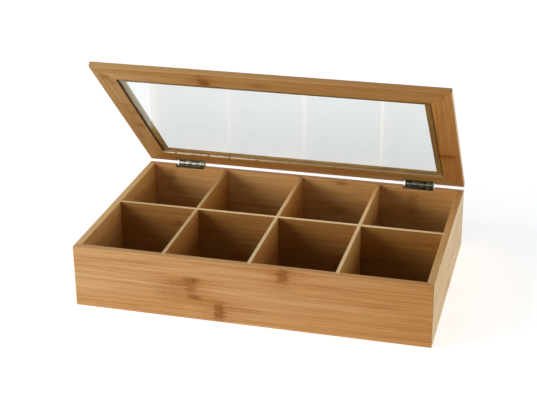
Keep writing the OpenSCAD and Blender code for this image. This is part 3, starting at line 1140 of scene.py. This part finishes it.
# Seen through glass, the glow has the first share near the box, and gains the second over PANE_FADE.
PANE_SHARE, PANE_GAIN = 0.93, 0.16
PANE_FADE = (0.28, 0.6)
LAMP_SIZE = 1.0
LAMP_DISTANCE = 2.0
LAMP_AIM = Vector((0, 0, 0.08))


def ray_kinds(tree):
    """1 for rays from the camera, from reflections and through glass, in three masks."""
    return [tree.node("ShaderNodeLightPath", {}, [], output=name)
            for name in ("Is Camera Ray", "Is Glossy Ray", "Is Transmission Ray")]


def make_floor():
    """White floor that keeps the object's shadow."""
    mesh = bpy.data.meshes.new("floor")
    half = FLOOR_SIZE / 2
    corners = [(-half, -half, 0), (half, -half, 0), (half, half, 0), (-half, half, 0)]
    mesh.from_pydata(corners, [], [(0, 1, 2, 3)])
    floor = bpy.data.objects.new("floor", mesh)
    link(floor)
    material, tree = new_material("white_floor")
    camera, glossy, through = ray_kinds(tree)
    matt = tree.node("ShaderNodeBsdfDiffuse", {}, {"Color": FLOOR_GREY})
    x, y, z = place_on(tree, lid=False).split()
    distance = (x * x + y * y).math("SQRT")
    white = FLOOR_GLOW + distance.ramp(*FLOOR_LIT) * (1 - FLOOR_GLOW)
    dimmed = through * (PANE_SHARE + distance.ramp(*PANE_FADE) * PANE_GAIN)
    sheen = glossy * x.ramp(*SHEEN_FROM) * FLOOR_SHEEN
    glow = tree.node("ShaderNodeEmission", {}, {
        "Color": WHITE, "Strength": sheen.most(camera.most(dimmed) * white)})
    surface(tree, tree.node("ShaderNodeAddShader", {}, [matt, glow]))
    mesh.materials.append(material)


def make_world(ambient):
    """White room that lights the box weakly from all sides."""
    world = bpy.data.worlds.new("white_room")
    world.use_nodes = True
    world.node_tree.nodes.clear()
    tree = Tree(world.node_tree)
    camera, glossy, through = ray_kinds(tree)
    strength = camera.most(glossy).most(through).most(ambient)
    sky = tree.node("ShaderNodeBackground", {}, {"Color": WHITE, "Strength": strength})
    tree.node("ShaderNodeOutputWorld", {}, {"Surface": sky})
    bpy.context.scene.world = world


def direction(azimuth, elevation):
    """Unit vector away from the box: azimuth is to the right of its front, both in radians."""
    level = math.cos(elevation)
    return Vector((math.sin(azimuth) * level, -math.cos(azimuth) * level, math.sin(elevation)))


def make_lamp(name, azimuth, elevation, power, mirrored=True):
    """Round soft lamp that looks at the box from a direction given in degrees."""
    away = direction(math.radians(azimuth), math.radians(elevation))
    lamp = bpy.data.lights.new(name, "AREA")
    lamp.energy = power
    lamp.shape = "DISK"
    lamp.size = LAMP_SIZE
    holder = bpy.data.objects.new(name, lamp)
    holder.visible_camera = holder.visible_transmission = False
    holder.visible_glossy = mirrored
    holder.location = LAMP_AIM + away * LAMP_DISTANCE
    holder.rotation_euler = (-away).to_track_quat("-Z", "Y").to_euler()
    link(holder)


def make_camera(look):
    """Camera at its place, turned to the stage's angles."""
    back = direction(look.azimuth, look.elevation)
    right = (-back).cross(Vector((0, 0, 1))).normalized()
    up = back.cross(right)
    level = Matrix((right, up, back)).transposed().to_4x4()
    camera = bpy.data.objects.new("camera", bpy.data.cameras.new("camera"))
    camera.matrix_world = Matrix.Translation(CAMERA_PLACE) @ level @ Matrix.Rotation(look.roll, 4, "Z")
    camera.data.lens = LENS
    camera.data.shift_y = SHIFT_Y
    link(camera)
    bpy.context.scene.camera = camera


class TEABOX_OT_stage(Operator):
    """Sets the floor, the lamps and the camera"""

    bl_idname = "teabox.stage"
    bl_label = "Stage"

    def execute(self, context):
        look = context.scene.teabox_stage
        make_floor()
        make_world(look.ambient)
        make_lamp("key_lamp", azimuth=-60, elevation=25, power=look.key)
        make_lamp("left_lamp", azimuth=-60, elevation=8, power=look.left)
        make_lamp("front_lamp", azimuth=-30, elevation=8, power=look.front)
        make_lamp("right_lamp", azimuth=90, elevation=8, power=look.right)
        make_lamp("back_lamp", azimuth=180, elevation=35, power=look.back, mirrored=False)
        make_camera(look)
        context.scene.view_settings.view_transform = "Standard"
        return {"FINISHED"}


# ---- Panel, registration and the run ----


class TEABOX_PT_panel(Panel):
    """Lists the steps that dress the box"""

    bl_label = "Tea box"
    bl_space_type = "VIEW_3D"
    bl_region_type = "UI"
    bl_category = "Tea box"

    def draw(self, context):
        for step in STEPS:
            self.layout.operator(step.bl_idname)
        for group in SETTINGS:
            box = self.layout.box()
            settings = getattr(context.scene, group)
            for name in settings.__annotations__:
                box.prop(settings, name)


STEPS = (
    TEABOX_OT_walls, TEABOX_OT_dividers, TEABOX_OT_lid_frame, TEABOX_OT_pane, TEABOX_OT_bead,
    TEABOX_OT_hinges, TEABOX_OT_screws, TEABOX_OT_stage,
)
SETTINGS = {
    "teabox_bamboo": TEABOX_PG_bamboo,
    "teabox_glazing": TEABOX_PG_glazing,
    "teabox_steel": TEABOX_PG_steel,
    "teabox_stage": TEABOX_PG_stage,
}


def register():
    for kind in (*SETTINGS.values(), *STEPS, TEABOX_PT_panel):
        bpy.utils.register_class(kind)
    for name, kind in SETTINGS.items():
        setattr(bpy.types.Scene, name, PointerProperty(type=kind))


def unregister():
    for name in SETTINGS:
        delattr(bpy.types.Scene, name)
    for kind in reversed((*SETTINGS.values(), *STEPS, TEABOX_PT_panel)):
        bpy.utils.unregister_class(kind)


def main():
    """Runs every step."""
    register()
    for step in STEPS:
        group, name = step.bl_idname.split(".")
        getattr(getattr(bpy.ops, group), name)()


if __name__ == "__main__":
    main()
